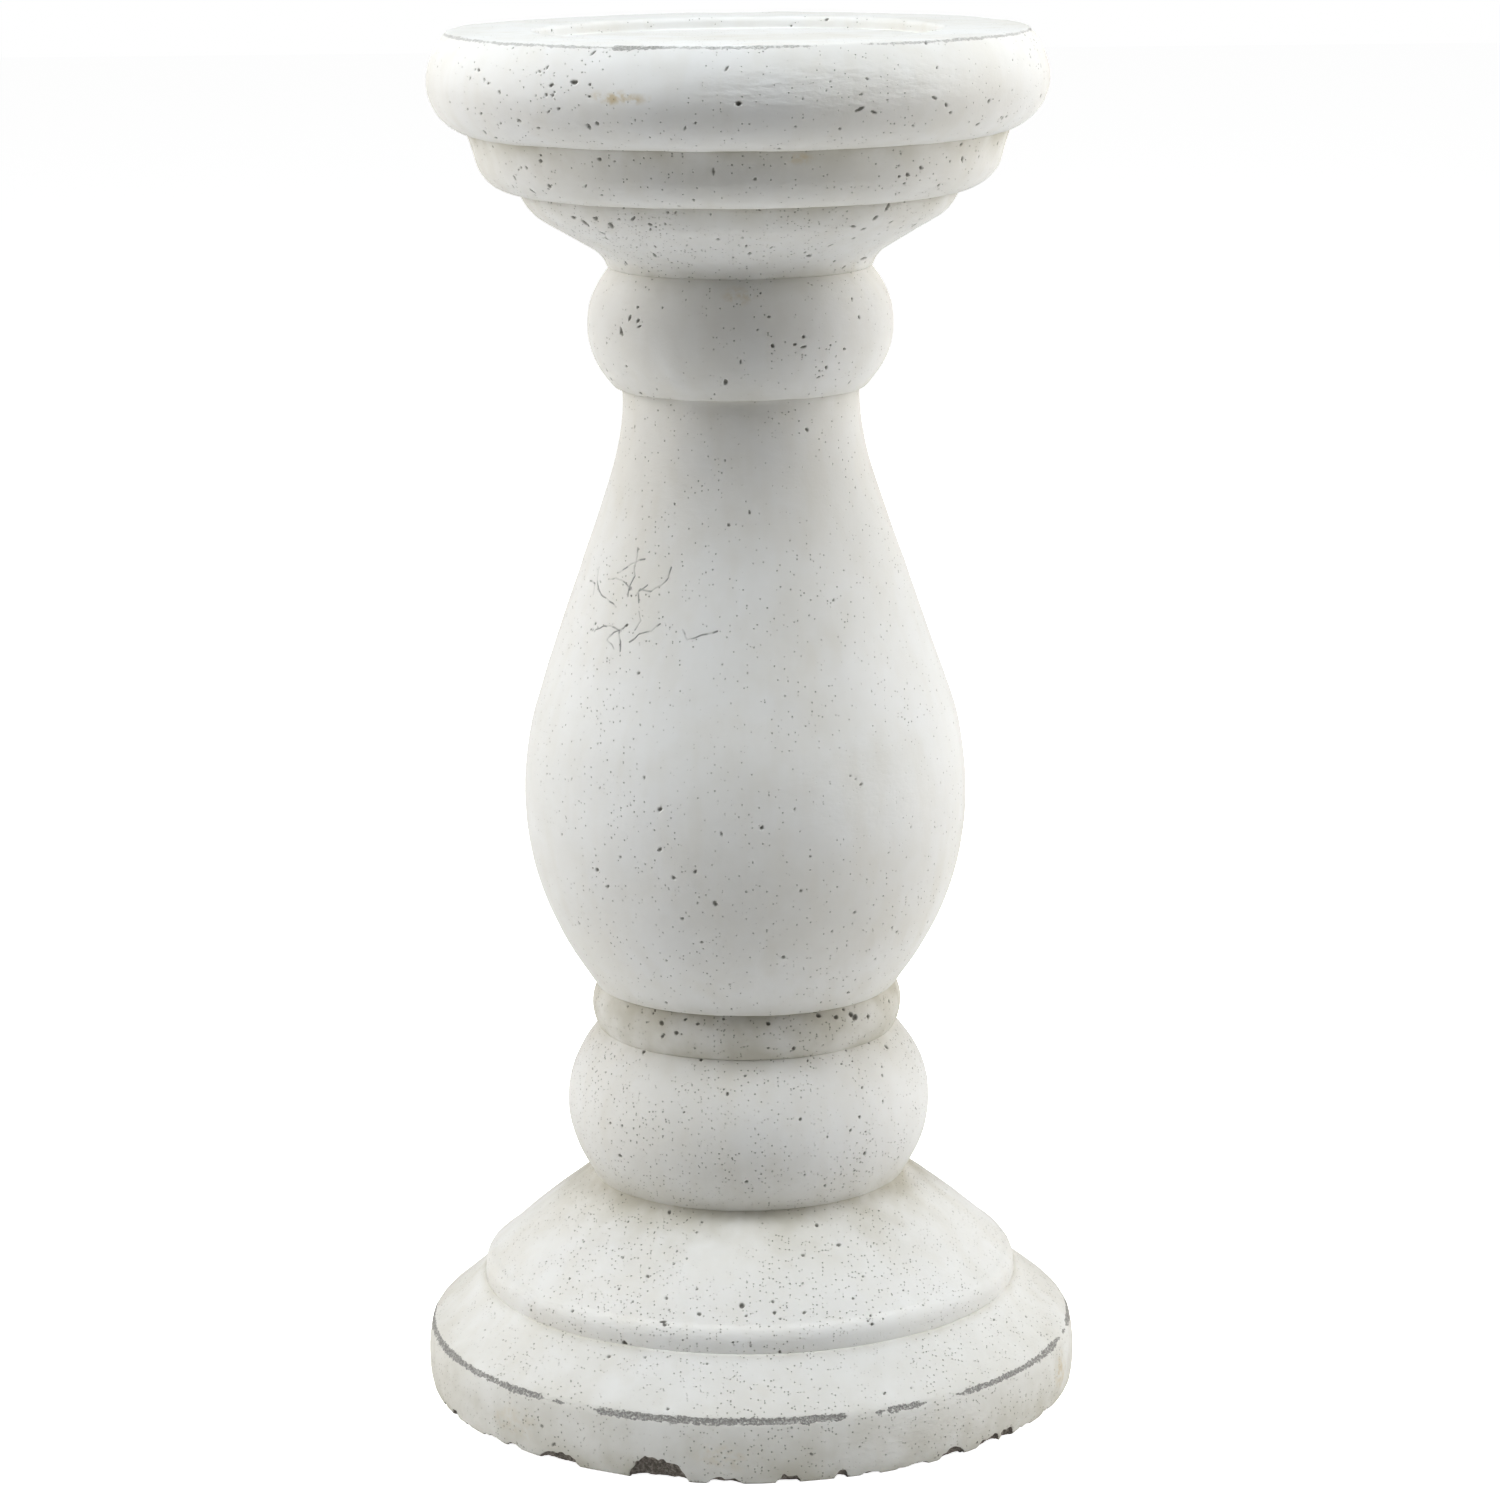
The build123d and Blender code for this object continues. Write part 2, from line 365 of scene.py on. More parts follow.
PIT_DEPTH_IN_HALF_WIDTHS = 1.3
PIT_EDGE_FREE_MM = 0.6
PIT_SMALLEST_MM = 0.22
PIT_SIZE_SPREAD_MM = 0.095
PIT_LARGEST_MM = 0.75
SLIT_TILT_DEGREES = 55
SLIT_TILT_SPREAD_DEGREES = 25


class Pit:
    """An air-bubble hole or slit: half sizes along and across, tilt from level, and depth."""

    def __init__(self, phi, s, half_long, half_wide, tilt=0.0):
        self.phi, self.s = phi, s
        self.half_long, self.half_wide = half_long, half_wide
        self.tilt = tilt
        self.depth = half_wide * PIT_DEPTH_IN_HALF_WIDTHS


def pit_at(member, degrees, height, half_long, half_wide, tilt=0):
    """One pit by itself: degrees from the front, the height of its middle in mm, and tilt in degrees."""
    return Pit(math.radians(degrees), member.at_height(height), half_long, half_wide, math.radians(tilt))


def pit_group(member, random, count, centre, height, half_angle, half_height, largest, slit_share=0.3):
    """Pits gathered in an oval patch: centre and half_angle in degrees, the other sizes in mm."""
    made = []
    for _ in range(count):
        turn = random.uniform(0, 2 * math.pi)
        reach = math.sqrt(random.random())
        degrees = centre + half_angle * reach * math.cos(turn)
        middle = height + half_height * reach * math.sin(turn)
        wide = largest * random.uniform(0.5, 1.0)
        is_slit = random.random() < slit_share
        long = wide * random.uniform(*((1.7, 2.6) if is_slit else (1.0, 1.4)))
        made.append(pit_at(member, degrees, middle, long, wide, random.uniform(-80, 80)))
    return made


def scattered_pits(member, random, per_1000_mm2, slit_share=0.0, favour=None):
    """Random pits over the skin. favour(height) from 0 to 1 thins them out where it is low."""
    inner = SEAT_MARGIN_MM + PIT_EDGE_FREE_MM
    outer = member.length[-1] - (0 if member.ends_at_axis else inner)
    steps = np.linspace(inner, outer, 400)
    weight = member.radius(steps)
    if favour is not None:
        weight = weight * favour(member.height(steps))
    area = 2 * math.pi * np.trapz(weight, steps)
    share = np.cumsum(weight) / weight.sum()
    made = []
    for _ in range(int(area / 1000 * per_1000_mm2)):
        s = float(np.interp(random.random(), share, steps))
        phi = random.uniform(-math.pi, math.pi)
        wide = min(PIT_SMALLEST_MM + random.exponential(PIT_SIZE_SPREAD_MM), PIT_LARGEST_MM)
        long = wide * random.uniform(1.0, 1.5)
        tilt = random.uniform(0, math.pi)
        if random.random() < slit_share:
            long = wide * random.uniform(2.0, 3.6)
            tilt = math.radians(random.normal(SLIT_TILT_DEGREES, SLIT_TILT_SPREAD_DEGREES))
        made.append(Pit(phi, s, long, wide, tilt))
    return made


def refine(bm, near, levels):
    """Splits the skin's faces that near(centres, level) picks, once for each level."""
    layer = bm.verts.layers.float["s"]
    for level in range(levels):
        faces = [f for f in bm.faces if all(v[layer] >= 0 for v in f.verts)]
        centres = np.array([f.calc_center_median()[:] for f in faces])
        picked = near(centres, level)
        edges = {e for f, take in zip(faces, picked) if take for e in f.edges}
        if edges:
            bmesh.ops.subdivide_edges(bm, edges=list(edges), cuts=1, use_grid_fill=True)


def near_points(places, reaches):
    """A test for refine: faces within each place's reach, plus a margin that shrinks with each level."""
    def test(centres, level):
        tree = kdtree.KDTree(len(centres))
        for i, c in enumerate(centres):
            tree.insert(c, i)
        tree.balance()
        picked = np.zeros(len(centres), bool)
        margin = 0.9 / (level + 1)
        for place, reach in zip(places, reaches):
            for _, i, _ in tree.find_range(place, reach + margin):
                picked[i] = True
        return picked
    return test


def pit_relief(member, points, phi, s, pits):
    """Depth cut by the pits at each skin vertex, and how far inside a pit it is, 0 to 1."""
    cut = np.zeros(len(points))
    inside = np.zeros(len(points))
    tree = kdtree.KDTree(len(points))
    for i, p in enumerate(points):
        tree.insert(p, i)
    tree.balance()
    for pit in pits:
        centre = member.points(np.array([pit.phi]), np.array([pit.s]))[0]
        found = [i for _, i, _ in tree.find_range(centre, pit.half_long * 1.4)]
        if not found:
            continue
        found = np.array(found)
        turn = (phi[found] - pit.phi + math.pi) % (2 * math.pi) - math.pi
        around = turn * member.radius(s[found])
        up = s[found] - pit.s
        along = around * math.cos(pit.tilt) + up * math.sin(pit.tilt)
        across = -around * math.sin(pit.tilt) + up * math.cos(pit.tilt)
        ragged = 1 + 0.16 * noise(points[found] + 37.0, pit.half_wide * 1.1, 5)
        distance = np.hypot(along / pit.half_long, across / pit.half_wide) * ragged
        bowl = np.sqrt(np.clip(1 - distance**2, 0, 1))
        cut[found] = np.maximum(cut[found], pit.depth * bowl)
        inside[found] = np.maximum(inside[found], smoothstep(1.08, 0.72, distance))
    return cut, inside


def unevenness(points):
    """Hand-finished waviness of the wash, in mm."""
    return (
        0.28 * noise(points, 36.0, 11)
        + 0.18 * noise(points, 13.0, 12)
        + 0.065 * noise(points, 4.5, 13)
    )


# How far the wash builds up, in mm, at each member's lower and upper joint.
WASH_FILL = {
    "plinth": (0.0, 0.5),
    "foot": (0.35, 0.9),
    "lower_bulb": (1.5, 0.5),
    "collar": (0.35, 0.3),
    "baluster": (0.5, 0.4),
    "neck_ball": (0.3, 0.8),
    "cup": (0.9, 0.4),
    "step_disc": (0.2, 0.4),
    "dish": (0.2, 0.0),
}
WASH_FILL_REACH = 2.0
WASH_FILL_START = (1.0, 3.2)
SEAT_HIDDEN_MM = 1.5


def wash_fill(member, s):
    """Thickness of the wash gathered in the member's joints, which softens them."""
    low, high = WASH_FILL[member.node]
    above = np.maximum(s - SEAT_MARGIN_MM, 0)
    fill = low * np.exp(-above / WASH_FILL_REACH) * smoothstep(*WASH_FILL_START, s)
    if member.ends_at_axis:
        return fill
    left = member.length[-1] - s
    below = np.maximum(left - SEAT_MARGIN_MM, 0)
    return fill + high * np.exp(-below / WASH_FILL_REACH) * smoothstep(*WASH_FILL_START, left)


def seat_fade(member, s):
    """0 on the hidden seats at the skin's ends, rising to 1 at their outer edges."""
    low = smoothstep(SEAT_HIDDEN_MM, SEAT_MARGIN_MM, s)
    if member.ends_at_axis:
        return low
    return low * smoothstep(SEAT_HIDDEN_MM, SEAT_MARGIN_MM, member.length[-1] - s)


def sculpted(member, pits, extra=None, refine_extra=None):
    """Makes the member's mesh: turned, refined at its features, with the relief cut in.

    extra(points, phi, s) returns more depth to cut and a dict of named vertex values for the material.
    """
    bm = turned_bmesh(member)
    places = [member.points(np.array([p.phi]), np.array([p.s]))[0] for p in pits]
    reaches = [p.half_long for p in pits]
    refine(bm, near_points(places, reaches), 2)
    if refine_extra is not None:
        refine(bm, *refine_extra)
    mesh = bpy.data.meshes.new(member.node + "_cast")
    bm.to_mesh(mesh)
    bm.free()

    count = len(mesh.vertices)
    flat = np.empty(count * 3, np.float32)
    mesh.vertices.foreach_get("co", flat)
    places = flat.reshape(-1, 3).astype(float)
    s = np.empty(count, np.float32)
    mesh.attributes["s"].data.foreach_get("value", s)
    on_skin = s >= 0
    s = s[on_skin].astype(float)
    phi = np.arctan2(places[on_skin, 0], -places[on_skin, 1])
    points = member.points(phi, s)

    cut, inside = pit_relief(member, points, phi, s, pits)
    # how far inside a pit, which the material darkens with painted shade and dirt
    values = {"pit": inside}
    relief = unevenness(points) * seat_fade(member, s) + wash_fill(member, s) - cut
    if extra is not None:
        more_cut, more_values = extra(points, phi, s)
        relief -= more_cut
        values.update(more_values)
    # grime and painted shade in the joints, kept as a vertex value for the material
    values["grime_and_shade"] = joint_grime_and_shade(member, s)
    places[on_skin] = points + member.outward(phi, s) * relief[:, None]
    places[:, 2] = np.maximum(places[:, 2], 0)
    mesh.vertices.foreach_set("co", (places * MM).astype(np.float32).ravel())
    for name, value in values.items():
        full = np.zeros(count, np.float32)
        full[on_skin] = value
        attribute = mesh.attributes.new(name, "FLOAT", "POINT")
        attribute.data.foreach_set("value", full)
    mesh.attributes.remove(mesh.attributes["s"])
    mesh.shade_smooth()
    mesh.update()
    return mesh


# Warm grey grime and painted shade at each member's lower and upper joint, as (strength, reach in mm), then
# over the whole member; the shade darkens the joints, the collar and the plinth side.
JOINT_GRIME_AND_SHADE = {
    "plinth": ((0.8, 18.0), (0.5, 1.5), 0.0),
    "foot": ((0.3, 1.5), (0.95, 11.0), 0.0),
    "lower_bulb": ((0.7, 7.0), (0.5, 5.0), 0.0),
    "collar": ((0.4, 3.0), (0.5, 4.0), 0.55),
    "baluster": ((0.45, 3.0), (0.4, 5.0), 0.0),
    "neck_ball": ((0.3, 2.5), (0.5, 4.0), 0.05),
    "cup": ((0.5, 3.0), (0.6, 4.0), 0.05),
    "step_disc": ((0.25, 2.0), (0.75, 5.0), 0.05),
    "dish": ((0.3, 2.0), (0.0, 1.0), 0.0),
}


def joint_grime_and_shade(member, s):
    """Warm grey grime and painted shade: most in the joints, fading out along the skin."""
    (low, low_reach), (high, high_reach), everywhere = JOINT_GRIME_AND_SHADE[member.node]
    grime_and_shade = low * np.exp(-np.maximum(s - SEAT_MARGIN_MM, 0) / low_reach)
    below = np.maximum(member.length[-1] - SEAT_MARGIN_MM - s, 0)
    return np.maximum(grime_and_shade, high * np.exp(-below / high_reach)) + everywhere


def add_piece(member, mesh, material):
    piece = bpy.data.objects.new(member.node + "_cast", mesh)
    bpy.context.scene.collection.objects.link(piece)
    mesh.materials.append(material)
    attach(piece, BODY)
    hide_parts(member.node)


# ---------------------------------------------------------------- materials


class Nodes:
    """Short calls for building a node material."""

    def __init__(self, name):
        self.material = bpy.data.materials.new(name)
        self.material.use_nodes = True
        self.tree = self.material.node_tree
        self.shader = self.tree.nodes["Principled BSDF"]
        self.object_coords = self.add("ShaderNodeTexCoord").outputs["Object"]

    def add(self, kind, **settings):
        node = self.tree.nodes.new(kind)
        for key, value in settings.items():
            setattr(node, key, value)
        return node

    def put(self, socket, value):
        if isinstance(value, bpy.types.NodeSocket):
            self.tree.links.new(value, socket)
        else:
            socket.default_value = value

    def maths(self, operation, a, b=0.0, clamp=False):
        node = self.add("ShaderNodeMath", operation=operation, use_clamp=clamp)
        self.put(node.inputs[0], a)
        self.put(node.inputs[1], b)
        return node.outputs[0]

    def scaled_coords(self, x, y, z):
        node = self.add("ShaderNodeMapping")
        self.put(node.inputs["Vector"], self.object_coords)
        node.inputs["Scale"].default_value = (x, y, z)
        return node.outputs[0]

    def noise(self, size, detail=2.0, roughness=0.5, coords=None):
        """Noise whose bumps are about size metres across, from 0 to 1."""
        node = self.add("ShaderNodeTexNoise")
        self.put(node.inputs["Vector"], coords or self.object_coords)
        node.inputs["Scale"].default_value = 1 / size
        node.inputs["Detail"].default_value = detail
        node.inputs["Roughness"].default_value = roughness
        return node.outputs["Fac"]

    def ramp(self, value, low, high):
        """0 below low, 1 above high, smooth between."""
        node = self.add("ShaderNodeMapRange", interpolation_type="SMOOTHSTEP")
        self.put(node.inputs["Value"], value)
        self.put(node.inputs["From Min"], low)
        self.put(node.inputs["From Max"], high)
        return node.outputs[0]

    def cells(self, size, coords=None):
        """Distance to the nearest of scattered points, in cell sizes, and a random value for that point."""
        node = self.add("ShaderNodeTexVoronoi")
        self.put(node.inputs["Vector"], coords or self.object_coords)
        node.inputs["Scale"].default_value = 1 / size
        split = self.add("ShaderNodeSeparateColor")
        self.tree.links.new(node.outputs["Color"], split.inputs[0])
        return node.outputs["Distance"], split.outputs[0]

    def blend(self, share, a, b):
        """Colour a, going to colour b as share goes to 1."""
        node = self.add("ShaderNodeMix", data_type="RGBA")
        self.put(node.inputs[0], share)
        self.put(node.inputs[6], a)
        self.put(node.inputs[7], b)
        return node.outputs[2]

    def value(self, name):
        node = self.add("ShaderNodeAttribute", attribute_name=name)
        return node.outputs["Fac"]

    def bump(self, height, distance, normal=None):
        node = self.add("ShaderNodeBump")
        self.put(node.inputs["Height"], height)
        node.inputs["Distance"].default_value = distance
        if normal is not None:
            self.put(node.inputs["Normal"], normal)
        return node.outputs[0]


WASH = (0.84, 0.838, 0.825, 1)
WASH_WARM = (0.79, 0.775, 0.735, 1)
WASH_COOL = (0.81, 0.825, 0.835, 1)
# warm grey for grime and painted shade in the joints
GRIME_AND_SHADE = (0.62, 0.60, 0.535, 1)
# painted shade and dirt inside pits and pinholes
HOLE_SHADE_AND_DIRT = (0.25, 0.24, 0.215, 1)
WORN_GREY = (0.38, 0.37, 0.355, 1)
WORN_LIGHT = (0.66, 0.65, 0.63, 1)
CHIP_DARK = (0.20, 0.178, 0.157, 1)
CHIP_LIGHT = (0.40, 0.365, 0.325, 1)
OCHRE = (0.64, 0.55, 0.39, 1)
SCRATCH_GREY = (0.30, 0.295, 0.29, 1)
ZINC_DARK = (0.46, 0.46, 0.45, 1)
ZINC_LIGHT = (0.62, 0.62, 0.60, 1)
FELT_DARK = (0.055, 0.050, 0.046, 1)
FELT_LIGHT = (0.17, 0.16, 0.15, 1)
FELT_TUFT = (0.10, 0.095, 0.09, 1)


def pinholes(n, size, largest, density, stretch=1.0):
    """A mask of small round holes: a share density of the scattered points get one."""
    coords = n.scaled_coords(1, 1, 1 / stretch) if stretch != 1.0 else None
    distance, chance = n.cells(size, coords)
    reach = n.maths("MULTIPLY", n.ramp(chance, 1 - density, 1.0), largest / size)
    return n.ramp(n.maths("SUBTRACT", reach, distance), 0.0, 0.10)


def cement_material(name, pinhole_density):
    """Chalky wash over cast cement. The mesh carries where it is pitted, chipped, worn or stained, and where
    grime and painted shade darken it.
    """
    n = Nodes(name)
    mottle = n.ramp(n.noise(0.045, detail=4, roughness=0.6), 0.35, 0.68)
    drips = n.noise(0.007, detail=2, coords=n.scaled_coords(1, 1, 0.22))
    streaks = n.maths("MULTIPLY", n.ramp(drips, 0.45, 0.7), 0.3)
    mottle = n.maths("ADD", n.maths("MULTIPLY", mottle, 0.8), streaks, True)
    cool = n.ramp(n.noise(0.09, detail=2), 0.45, 0.70)
    colour = n.blend(mottle, WASH, WASH_WARM)
    colour = n.blend(n.maths("MULTIPLY", cool, 0.4), colour, WASH_COOL)

    # painted shade and grime: darkens the joints, the whole collar and the plinth side
    uneven = n.maths("ADD", 0.45, n.ramp(n.noise(0.012, detail=3), 0.25, 0.75))
    colour = n.blend(n.maths("MULTIPLY", n.value("grime_and_shade"), uneven), colour, GRIME_AND_SHADE)
    stain = n.maths("MULTIPLY", n.value("stain"), n.ramp(n.noise(0.0022, detail=3), 0.35, 0.65))
    colour = n.blend(stain, colour, OCHRE)

    patches = n.ramp(n.noise(0.024, detail=3), 0.28, 0.58)
    fine = pinholes(n, 0.0009, 0.00027, pinhole_density)
    fine = n.maths("MULTIPLY", fine, patches)
    medium = pinholes(n, 0.0036, 0.00048, pinhole_density * 0.35)
    holes = n.maths("MAXIMUM", fine, medium)
    # the pinholes are only bumps, so painted shade and dirt darken their colour
    colour = n.blend(n.maths("MULTIPLY", holes, 0.5), colour, HOLE_SHADE_AND_DIRT)

    # the pits cut into the mesh are darkened too, with painted shade and dirt
    colour = n.blend(n.maths("MULTIPLY", n.value("pit"), 0.72), colour, HOLE_SHADE_AND_DIRT)
    colour = n.blend(n.maths("MULTIPLY", n.value("scratch"), 0.9), colour, SCRATCH_GREY)

    grit = n.ramp(n.noise(0.0006, detail=2), 0.42, 0.62)
    edge = n.maths("ABSOLUTE", n.value("edge_distance"))
    ragged = n.maths("MULTIPLY", n.maths("SUBTRACT", n.noise(0.0013, detail=3), 0.5), 1.9)
    worn = n.maths("ADD", n.maths("SUBTRACT", n.value("wear_width"), edge), ragged)
    worn = n.maths("MULTIPLY", n.ramp(worn, -0.05, 0.12), n.ramp(n.value("wear_width"), 0.02, 0.12))
    specks = n.ramp(n.noise(0.0011, detail=2), 0.60, 0.66)
    worn = n.maths("MULTIPLY", worn, n.maths("SUBTRACT", 1.0, n.maths("MULTIPLY", specks, 0.75)))
    worn_colour = n.blend(n.maths("MULTIPLY", grit, 0.6), WORN_GREY, WORN_LIGHT)
    colour = n.blend(n.maths("MULTIPLY", worn, n.value("wear_strength")), colour, worn_colour)

    chip = n.ramp(n.value("chip"), 0.0, 0.10)
    chip_colour = n.blend(n.ramp(n.noise(0.0011, detail=4, roughness=0.7), 0.4, 0.65), CHIP_DARK, CHIP_LIGHT)
    colour = n.blend(chip, colour, chip_colour)

    n.put(n.shader.inputs["Base Color"], colour)
    rough = n.maths("ADD", 0.82, n.maths("MULTIPLY", n.noise(0.006, detail=3), 0.16))
    n.put(n.shader.inputs["Roughness"], rough)
    n.put(n.shader.inputs["Specular IOR Level"], 0.25)

    wrinkle_zone = n.ramp(n.noise(0.055, detail=1), 0.54, 0.68)
    wrinkle_zone = n.maths("MAXIMUM", n.maths("MULTIPLY", wrinkle_zone, 0.35), n.value("wrinkle"))
    wrinkles = n.noise(0.0019, detail=3, coords=n.scaled_coords(0.45, 0.45, 1.0))
    height = n.maths("MULTIPLY", n.maths("MULTIPLY", wrinkles, wrinkle_zone), 1.1)
    height = n.maths("ADD", height, n.maths("MULTIPLY", n.noise(0.0009, detail=3), 0.08))
    height = n.maths("ADD", height, n.maths("MULTIPLY", n.noise(0.007, detail=2), 0.22))
    height = n.maths("SUBTRACT", height, holes)
    gritty = n.maths("MAXIMUM", worn, chip)
    height = n.maths("ADD", height, n.maths("MULTIPLY", n.maths("MULTIPLY", gritty, grit), 0.5))
    n.put(n.shader.inputs["Normal"], n.bump(height, 0.00035))
    return n.material


def steel_material():
    """Dull zinc-plated steel with fine turning marks."""
    n = Nodes("zinc_steel")
    spangle = n.noise(0.004, detail=3)
    n.put(n.shader.inputs["Base Color"], n.blend(spangle, ZINC_DARK, ZINC_LIGHT))
    n.shader.inputs["Metallic"].default_value = 1.0
    n.put(n.shader.inputs["Roughness"], n.maths("ADD", 0.34, n.maths("MULTIPLY", spangle, 0.2)))
    marks = n.noise(0.0007, detail=2, coords=n.scaled_coords(0.15, 0.15, 1.0))
    n.put(n.shader.inputs["Normal"], n.bump(marks, 0.00006))
    return n.material


def felt_material():
    """Dense wool felt: tangled fibres, soft sheen."""
    n = Nodes("felt")
    fibres = n.noise(0.0009, detail=4, roughness=0.7, coords=n.scaled_coords(1.0, 0.35, 1.0))
    tufts = n.noise(0.006, detail=3)
    colour = n.blend(fibres, FELT_DARK, FELT_LIGHT)
    tufted = n.blend(n.maths("MULTIPLY", tufts, 0.4), colour, FELT_TUFT)
    n.put(n.shader.inputs["Base Color"], tufted)
    n.shader.inputs["Roughness"].default_value = 0.95
    n.shader.inputs["Sheen Weight"].default_value = 0.4
    n.put(n.shader.inputs["Normal"], n.bump(fibres, 0.0004))
    return n.material


# ---------------------------------------------------------------- the members

SEED = 20240
# Each number of segments is a multiple of CORE_SEGMENTS, or the skin and the core would not close.
USUAL_SEGMENTS = 384
SEGMENTS = {"foot": 448, "baluster": 320, "step_disc": 448, "dish": 448}
USUAL_RING_STEP_MM = 0.95
RING_STEP_MM = {"baluster": 1.3, "dish": 1.2}

random = np.random.default_rng(SEED)
seat_heights = [0.0] + [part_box(node)[1].z / MM for node in CAST_MEMBERS[:-1]]
members = {}
for node, seat in zip(CAST_MEMBERS, seat_heights):
    ring_step = RING_STEP_MM.get(node, USUAL_RING_STEP_MM)
    members[node] = Member(node, seat, ring_step, SEGMENTS.get(node, USUAL_SEGMENTS))


def wide_angle(phi, centre, half):
    """Angle from centre, wrapped, as a share of half."""
    return ((phi - math.radians(centre) + math.pi) % (2 * math.pi) - math.pi) / math.radians(half)


def stain_patch(points, phi, centre, height, half_angle, half_height, strength):
    """A soft blotch of stain at an angle and height."""
    d = np.hypot(wide_angle(phi, centre, half_angle), (points[:, 2] - height) / half_height)
    d = d + 0.35 * noise(points, 3.0, 71)
    return strength * smoothstep(1.0, 0.3, d)


def zone(points, phi, centre, height, half_angle, half_height):
    """1 in the middle of a soft patch at an angle and height, falling to 0 at its border."""
    d = np.hypot(wide_angle(phi, centre, half_angle), (points[:, 2] - height) / half_height)
    return smoothstep(1.0, 0.4, d)


def broken_line(points, phi, half_width, tear, gaps=()):
    """Half width, in mm, of a worn line along an edge.

    Slow noise thins the line and breaks it where it falls under tear. Each gap is (degrees, half angle),
    with only a few worn dots left in it.
    """
    slow = noise(points, 26.0, 31)
    uneven = 1 + 0.3 * slow + 0.35 * noise(points, 5.0, 32)
    width = half_width * smoothstep(tear, tear + 0.25, slow) * uneven
    dots = 0.5 * smoothstep(0.25, 0.4, noise(points, 3.5, 34))
    for degrees, half_angle in gaps:
        outside = smoothstep(0.85, 1.1, np.abs(wide_angle(phi, degrees, half_angle)))
        width = width * outside + dots * (1 - outside)
    return width


def worn_depth_share(edge, width):
    """1 on a worn line's middle, falling to 0 at its border; edge is the distance from the line in mm."""
    return smoothstep(0.9, 0.2, np.abs(edge) / np.maximum(width, 1e-3)) * (width > 0.1)


ARRIS_HEIGHT = 17.6
ARRIS_WORN_HALF_WIDTH = 0.9
ARRIS_WEAR_DEPTH = 0.22
ARRIS_TEAR = -0.85
ARRIS_GAPS = [(-33, 6), (20, 4), (75, 5), (150, 7), (-155, 5)]


def plinth_extra(points, phi, s):
    """Worn arris, chipped bottom edge, stains and wrinkled wash of the plinth."""
    edge = s - members["plinth"].at_height(ARRIS_HEIGHT)
    width = broken_line(points, phi, ARRIS_WORN_HALF_WIDTH, ARRIS_TEAR, ARRIS_GAPS)
    chips = chip_field(points, phi)
    cut = ARRIS_WEAR_DEPTH * worn_depth_share(edge, width) + chip_depth(points, chips)
    stain = stain_patch(points, phi, 70, 9, 4, 6, 0.6)
    stain += stain_patch(points, phi, -5, 8, 6, 5, 0.25)
    stain += stain_patch(points, phi, -45, 9, 7, 6, 0.2)
    values = {
        "edge_distance": edge,
        "wear_width": width,
        "wear_strength": np.ones(len(points)),
        "chip": chips,
        "stain": stain,
        "wrinkle": zone(points, phi, 30, 9, 22, 11),
    }
    return cut, values


# The plinth's three placed chips: degrees from the front, half width and height in mm.
PLACED_CHIPS = [(-16, 8.5, 7.0), (-35, 7.0, 3.5), (6, 3.5, 2.5)]
CHIP_CLEAR_DEGREES = 7
CHIP_HALF_WIDTHS = (1.5, 7.0)
CHIP_STEPS_DEGREES = (4, 13)
CHIP_LOWEST = 1.2
CHIP_HEIGHT_SPREAD = 0.65
CHIP_HIGHEST = 3.6
CHIP_ZONE_TOP = 12
NO_CHIP = -9.0
CHIPPED_RADIUS = 91.5


def edge_chips(random):
    """The placed chips, and random lower ones all along the bottom edge between them."""
    chips = list(PLACED_CHIPS)
    degrees = -180.0
    while degrees < 180:
        clear = all(abs(degrees - place) > CHIP_CLEAR_DEGREES for place, _, _ in PLACED_CHIPS)
        half_width = random.uniform(*CHIP_HALF_WIDTHS)
        height = min(CHIP_LOWEST + random.exponential(CHIP_HEIGHT_SPREAD), CHIP_HIGHEST)
        if clear:
            chips.append((degrees, half_width, height))
        degrees += random.uniform(*CHIP_STEPS_DEGREES)
    return chips


plinth_chips = edge_chips(random)


def chip_field(points, phi):
    """How far inside a chip a point is, in mm: above 0 inside, with ragged borders."""
    field = np.full(len(points), NO_CHIP)
    border = 0.9 * noise(points, 3.2, 41) + 0.65 * noise(points, 1.2, 42)
    for degrees, half_width, height in plinth_chips:
        across = np.abs(wide_angle(phi, degrees, 1.0)) * math.radians(1) * CHIPPED_RADIUS / half_width
        rise = np.clip(1 - across**3.4, -4, 1)
        field = np.maximum(field, height * rise - points[:, 2] + border * min(1.0, height / 2.5))
    return np.where(points[:, 2] < CHIP_ZONE_TOP, field, NO_CHIP)


def chip_depth(points, field):
    """Depth of the broken surface: a steep lip, then a rough floor."""
    rough = 0.45 * noise(points, 2.6, 43) + 0.25 * noise(points, 1.1, 44)
    return smoothstep(-0.05, 0.55, field) * (0.55 + rough * 0.6) + np.clip(field, 0, 6) * 0.16


def chips_near(centres, level):
    """Faces close to a chip's border or inside it."""
    phi = np.arctan2(centres[:, 0], -centres[:, 1])
    return chip_field(centres, phi) > (-1.4 if level == 0 else -0.6)


def build_plinth(material):
    member = members["plinth"]
    pits = pit_group(member, random, 4, -10, 9, 45, 5, 0.45)
    pits += scattered_pits(member, random, 3.5, favour=lambda z: 0.2 + 0.8 * smoothstep(16, 20, z))
    add_piece(member, sculpted(member, pits, plinth_extra, (chips_near, 2)), material)


def build_foot(material):
    member = members["foot"]
    pits = [pit_at(member, -2, 42, 0.8, 0.75)]
    pits += pit_group(member, random, 6, -10, 37, 55, 4, 0.55, slit_share=0.1)
    pits += scattered_pits(member, random, 8.0)
    add_piece(member, sculpted(member, pits), material)


def build_lower_bulb(material):
    member = members["lower_bulb"]
    pits = scattered_pits(member, random, 12.0, favour=lambda z: 0.25 + 0.75 * smoothstep(78, 98, z))
    pits += pit_group(member, random, 3, 45, 72, 15, 8, 0.5)
    add_piece(member, sculpted(member, pits), material)


